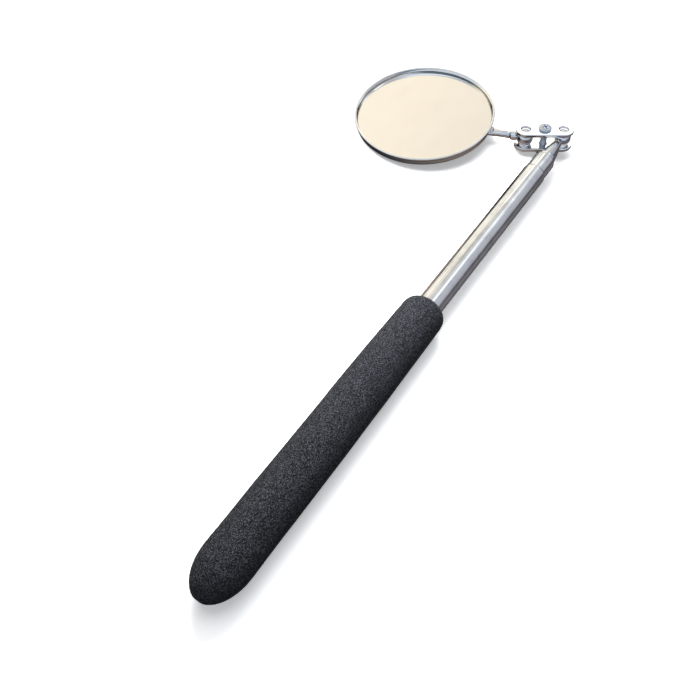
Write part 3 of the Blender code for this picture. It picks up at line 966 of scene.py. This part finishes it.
def panel(name, around, along, distance, high, wide, colour, strength, soft=0.35):
    """A soft lamp: a glowing screen that faces the object, fading out at its edges."""
    away = direction(around, along)
    angle = math.radians(around)
    up = Vector((0.0, -math.sin(angle), math.cos(angle)))
    side = up.cross(away).normalized()
    bm = bmesh.new()
    corners = [(-1, -1), (1, -1), (1, 1), (-1, 1)]
    centre = away * distance
    ring = [centre + side * (0.5 * wide * u) + up * (0.5 * high * v) for u, v in corners]
    bm.faces.new([bm.verts.new(point) for point in ring])
    mesh = bpy.data.meshes.new(name)
    layer = bm.loops.layers.uv.new("panel")
    for face in bm.faces:
        for loop, (u, v) in zip(face.loops, corners):
            loop[layer].uv = (u, v)
    bm.to_mesh(mesh)
    bm.free()
    made = bpy.data.materials.new(name)
    made.use_nodes = True
    tree = made.node_tree
    tree.nodes.clear()
    where = add(tree, "ShaderNodeTexCoord")
    split = add(tree, "ShaderNodeSeparateXYZ")
    tree.links.new(where.outputs["UV"], split.inputs["Vector"])
    glow = add(tree, "ShaderNodeEmission")
    glow.inputs["Color"].default_value = (*colour, 1.0)
    falls = []
    for axis in ("X", "Y"):
        size = add(tree, "ShaderNodeMath", operation="ABSOLUTE")
        tree.links.new(split.outputs[axis], size.inputs[0])
        fall = add(tree, "ShaderNodeMapRange", interpolation_type="SMOOTHSTEP")
        fall.inputs["From Min"].default_value = 1.0
        fall.inputs["From Max"].default_value = 1.0 - soft
        tree.links.new(size.outputs[0], fall.inputs["Value"])
        falls.append(fall.outputs["Result"])
    both = add(tree, "ShaderNodeMath", operation="MULTIPLY")
    tree.links.new(falls[0], both.inputs[0])
    tree.links.new(falls[1], both.inputs[1])
    power = add(tree, "ShaderNodeMath", operation="MULTIPLY")
    power.inputs[1].default_value = strength
    tree.links.new(both.outputs[0], power.inputs[0])
    tree.links.new(power.outputs[0], glow.inputs["Strength"])
    clear = add(tree, "ShaderNodeBsdfTransparent")
    sum_up = add(tree, "ShaderNodeAddShader")
    out = add(tree, "ShaderNodeOutputMaterial")
    tree.links.new(glow.outputs[0], sum_up.inputs[0])
    tree.links.new(clear.outputs[0], sum_up.inputs[1])
    tree.links.new(sum_up.outputs[0], out.inputs["Surface"])
    mesh.materials.append(made)
    screen = bpy.data.objects.new(name, mesh)
    bpy.context.scene.collection.objects.link(screen)
    screen.visible_camera = False
    screen.visible_shadow = False
    return screen


def build_floor():
    """A wide pale sweep. The object sees it darker than the eye does, in painted light and shade:
    warmer and lighter on the window side, greyer and darker on the other, and a painted shadow,
    nearly black, in a soft patch under the mirror head."""
    half = FLOOR_HALF
    bm = bmesh.new()
    corners = [(-half, -half), (half, -half), (half, half), (-half, half)]
    bm.faces.new([bm.verts.new((x, y, FLOOR_Z)) for x, y in corners])
    mesh = bpy.data.meshes.new("pale_floor")
    bm.to_mesh(mesh)
    bm.free()
    made, tree, shader = tree_of("pale_floor")
    shader.inputs["Roughness"].default_value = 0.9
    shader.inputs["Specular IOR Level"].default_value = 0.1
    shader.inputs["Base Color"].default_value = (FLOOR_SEEN, FLOOR_SEEN, FLOOR_SEEN, 1.0)
    shader.inputs["Emission Color"].default_value = (1.0, 1.0, 1.0, 1.0)
    shader.inputs["Emission Strength"].default_value = FLOOR_GLOW
    where = coordinates(tree)
    split = add(tree, "ShaderNodeSeparateXYZ")
    tree.links.new(where, split.inputs["Vector"])
    # Painted light and shade: the reflected floor is lighter and warm on the window side, darker
    # and grey on the far side.
    side = spread(tree, split.outputs["Y"], 0.0, 1.0, AXIS_Y0 - 5.0, AXIS_Y0 + 12.0)
    sides = ramp(tree, side, ((0.0, FLOOR_FAR_SIDE_PAINTED_SHADE), (1.0, FLOOR_WINDOW_SIDE_PAINTED_LIGHT)))
    # Painted shadow: a nearly black patch round the mirror head, standing for the shade under it.
    away = add(tree, "ShaderNodeVectorMath", operation="DISTANCE")
    tree.links.new(where, away.inputs[0])
    away.inputs[1].default_value = (HEAD @ shift(CUP_X)).translation
    patch = spread(tree, away.outputs["Value"], 0.0, 1.0, CUP_R + 1.5, CUP_R + 7.0)
    shade = add(tree, "ShaderNodeMix", data_type="RGBA")
    tree.links.new(patch, shade.inputs["Factor"])
    shade.inputs["A"].default_value = (*FLOOR_PAINTED_SHADOW_UNDER_HEAD, 1.0)
    tree.links.new(sides, shade.inputs["B"])
    dim = add(tree, "ShaderNodeBsdfDiffuse")
    tree.links.new(shade.outputs["Result"], dim.inputs["Color"])
    path = add(tree, "ShaderNodeLightPath")
    mix = add(tree, "ShaderNodeMixShader")
    tree.links.new(path.outputs["Is Camera Ray"], mix.inputs["Fac"])
    tree.links.new(dim.outputs["BSDF"], mix.inputs[1])
    tree.links.new(shader.outputs["BSDF"], mix.inputs[2])
    tree.links.new(mix.outputs[0], tree.nodes["Material Output"].inputs["Surface"])
    mesh.materials.append(made)
    floor = bpy.data.objects.new("pale_floor", mesh)
    bpy.context.scene.collection.objects.link(floor)


def build_world():
    """Soft room light, and a plain white backdrop for the eye. Going over the tool from +Y to
    -Y it is a warm low window, a pale ceiling and a cooler far wall with a dark foot; behind
    the grip it is cool daylight with one dark bar; and one soft round lamp stands over the
    head's side, where the clamp's plates see it."""
    world = bpy.data.worlds.new("soft_room")
    world.use_nodes = True
    bpy.context.scene.world = world
    tree = world.node_tree
    room = tree.nodes["Background"]
    where = add(tree, "ShaderNodeTexCoord")
    split = add(tree, "ShaderNodeSeparateXYZ")
    tree.links.new(where.outputs["Generated"], split.inputs["Vector"])
    angle = add(tree, "ShaderNodeMath", operation="ARCTAN2")
    tree.links.new(split.outputs["Z"], angle.inputs[0])
    tree.links.new(split.outputs["Y"], angle.inputs[1])
    over = spread(tree, angle.outputs[0], 0.0, 1.0, 0.0, math.pi)
    room_ramp = ramp(tree, over, ROOM_OVER)
    behind = spread(tree, split.outputs["X"], 1.0, 0.0, -0.5, -0.1)
    cool = add(tree, "ShaderNodeMix", data_type="RGBA")
    tree.links.new(behind, cool.inputs["Factor"])
    tree.links.new(room_ramp, cool.inputs["A"])
    tree.links.new(ramp(tree, split.outputs["Z"], ROOM_BEHIND), cool.inputs["B"])
    lamp_way = add(tree, "ShaderNodeVectorMath", operation="DOT_PRODUCT")
    tree.links.new(where.outputs["Generated"], lamp_way.inputs[0])
    lamp_way.inputs[1].default_value = direction(SPOT_ROUND, SPOT_ALONG)
    spot = spread(tree, lamp_way.outputs["Value"], 0.0, SPOT_GAIN, *SPOT_EDGE)
    lit = add(tree, "ShaderNodeMix", data_type="RGBA", blend_type="ADD", clamp_result=False)
    lit.inputs["Factor"].default_value = 1.0
    tree.links.new(cool.outputs["Result"], lit.inputs["A"])
    tree.links.new(spot, lit.inputs["B"])
    tree.links.new(lit.outputs["Result"], room.inputs["Color"])
    plain = add(tree, "ShaderNodeBackground")
    plain.inputs["Color"].default_value = (1.0, 1.0, 1.0, 1.0)
    path = add(tree, "ShaderNodeLightPath")
    power = spread(tree, path.outputs["Is Diffuse Ray"], 1.0, DIFFUSE_SHARE, 0.0, 1.0)
    tree.links.new(power, room.inputs["Strength"])
    mix = add(tree, "ShaderNodeMixShader")
    tree.links.new(path.outputs["Is Camera Ray"], mix.inputs["Fac"])
    tree.links.new(room.outputs[0], mix.inputs[1])
    tree.links.new(plain.outputs[0], mix.inputs[2])
    tree.links.new(mix.outputs[0], tree.nodes["World Output"].inputs["Surface"])


def build_lights():
    """An overhead strip for the chrome to reflect, and two soft lamps that it doesn't see."""
    panel("strip_overhead", 105.5, 0.6, 4.0, 1.8, 5.0, (0.93, 0.97, 1.0), 0.62, 0.85)
    sun = bpy.data.lights.new("soft_key", "SUN")
    sun.energy = SUN_ENERGY
    sun.angle = math.radians(SUN_SPREAD)
    sun.color = (0.97, 0.985, 1.0)
    key = bpy.data.objects.new("soft_key", sun)
    key.rotation_euler = Vector(SUN_FROM).to_track_quat("Z", "Y").to_euler()
    near = bpy.data.lights.new("near_fill", "AREA")
    near.size = NEAR_SIZE
    near.energy = NEAR_ENERGY
    near.color = (0.98, 0.98, 1.0)
    fill = bpy.data.objects.new("near_fill", near)
    fill.location = NEAR_PLACE
    fill.rotation_euler = Vector(NEAR_FROM).to_track_quat("Z", "Y").to_euler()
    for lamp in (key, fill):
        bpy.context.scene.collection.objects.link(lamp)
        lamp.visible_glossy = False
        lamp.visible_camera = False


def build_camera():
    """The eye is close above the grip, looking along the tool to the mirror."""
    eye = Vector(EYE_MM) * MM
    right = Vector(EYE_RIGHT)
    ahead = Vector(EYE_AHEAD).normalized()
    right = (right - ahead * right.dot(ahead)).normalized()
    up = right.cross(ahead)
    lens = bpy.data.cameras.new("camera")
    lens.sensor_width = SENSOR_MM
    lens.lens = LENS_MM
    lens.clip_start = 0.005
    camera = bpy.data.objects.new("camera", lens)
    bpy.context.scene.collection.objects.link(camera)
    basis = Matrix((right, up, -ahead)).transposed().to_4x4()
    camera.matrix_world = Matrix.Translation(eye) @ basis
    bpy.context.scene.camera = camera


# ---------------------------------------------------------------- assembly

for obj in list(bpy.data.objects):
    if obj.type in ("LIGHT", "CAMERA"):
        bpy.data.objects.remove(obj)

slots_of = {"tube_end_plug": "plastic_black", "shaft_base_plug": "steel_plain"}
slots_of.update(friction_sleeve_upper="brass_spring", friction_sleeve_lower="brass_spring")
slots_of.update(mirror_adhesive_pad="adhesive_grey")
for node, slot in slots_of.items():
    for place in frame["nodes"][node].material_slots:
        place.material = LOOK[slot]

build_grip()
build_outer_tube()
build_inner_stage()
wear(turned_ball("ball_of_shaft", SHAFT_BALL, 1), "shaft_ball", "chrome_turned", "shaft_ball")
build_plate("plate_upper", PLATE_IN, PLATE_OUT, "clamp_plate_upper")
build_plate("plate_lower", -PLATE_OUT, -PLATE_IN, "clamp_plate_lower")
build_nut_and_washer()
build_screw()
wear(turned_ball("ball_of_mirror", MIRROR_BALL, -1), "mirror_ball", "chrome_turned", "mirror_ball")
build_collar()
build_stem()
build_rivets()
build_cup()

build_floor()
build_world()
build_lights()
build_camera()
bpy.context.scene.view_settings.view_transform = "Standard"
